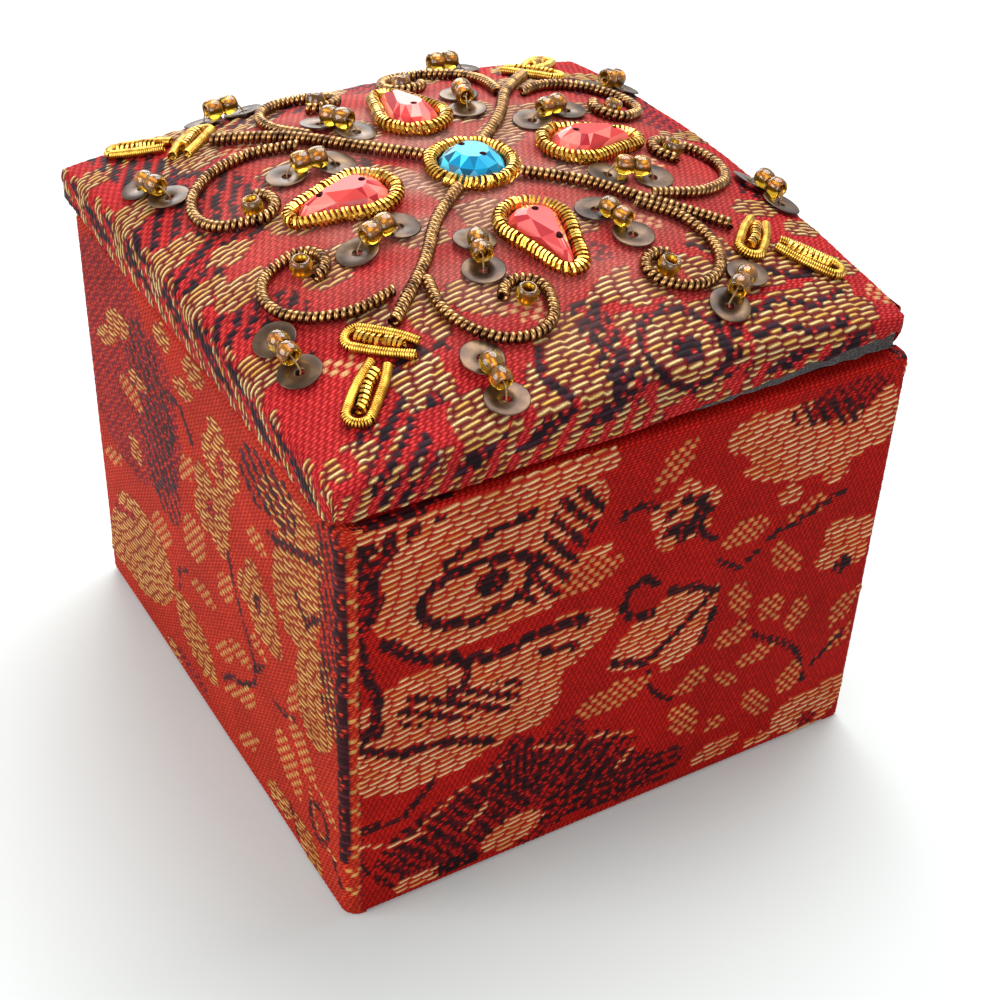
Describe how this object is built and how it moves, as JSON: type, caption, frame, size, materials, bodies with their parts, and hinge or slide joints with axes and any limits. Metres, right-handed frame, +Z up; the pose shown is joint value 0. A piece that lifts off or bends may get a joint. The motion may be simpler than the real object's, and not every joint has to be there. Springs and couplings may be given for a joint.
{
  "type": "beaded trinket box",
  "caption": "Small square cloth-covered keepsake box with a hinged, padded lid, embroidered with metal purl, sequins, glass beads and faceted stones.",
  "frame": {"origin": "centre of the box body's underside, on the surface that it stands on", "axes": "+Z up, -Y the front where the lid opens, +Y the back with the cloth hinge, +X the right side"},
  "size_m": [0.0599, 0.0603, 0.0584],
  "materials": {
    "chipboard": "grey board",
    "brocade": "dark red silk brocade with gold weft",
    "base_paper": "dark red bookcloth paper",
    "velvet": "short grey velvet",
    "wadding": "soft polyester wadding",
    "blue_stone": "faceted, foil-backed, transparent blue",
    "coral_stone": "faceted, opaque coral red",
    "bright_purl": "bright gold-coloured coiled wire",
    "antique_purl": "antique bronze coiled wire",
    "sequin": "taupe metallic film",
    "amber_glass": "transparent amber gold"
  },
  "bodies": {
    "box": {"back_board": "chipboard", "back_cover": "brocade", "back_lining": "velvet", "base_board": "chipboard", "base_cover": "base_paper", "floor_pad": "velvet", "front_board": "chipboard", "front_cover": "brocade", "front_lining": "velvet", "hinge_cloth": "brocade", "left_board": "chipboard", "left_cover": "brocade", "left_lining": "velvet", "right_board": "chipboard", "right_cover": "brocade", "right_lining": "velvet"},
    "lid": {"lid_card": "chipboard", "lid_felt": "velvet", "lid_board": "chipboard", "lid_wadding": "wadding", "lid_cover": "brocade", "center_stone": "blue_stone", "center_border": "bright_purl", "teardrop_stones": "coral_stone", "teardrop_borders": "bright_purl", "stem_purls": "antique_purl", "curl_purls": "antique_purl", "leaf_loops": "bright_purl", "leaf_fills": "bright_purl", "sequins": "sequin", "seed_beads": "amber_glass", "curl_beads": "amber_glass"}
  },
  "joints": [
    {"name": "lid_hinge", "type": "hinge", "parent": "box", "child": "lid", "pos_m": [0, 0.0295, 0.04655], "axis": [-1, 0, 0], "range_deg": [0, 170], "deforming": ["hinge_cloth"]}
  ]
}
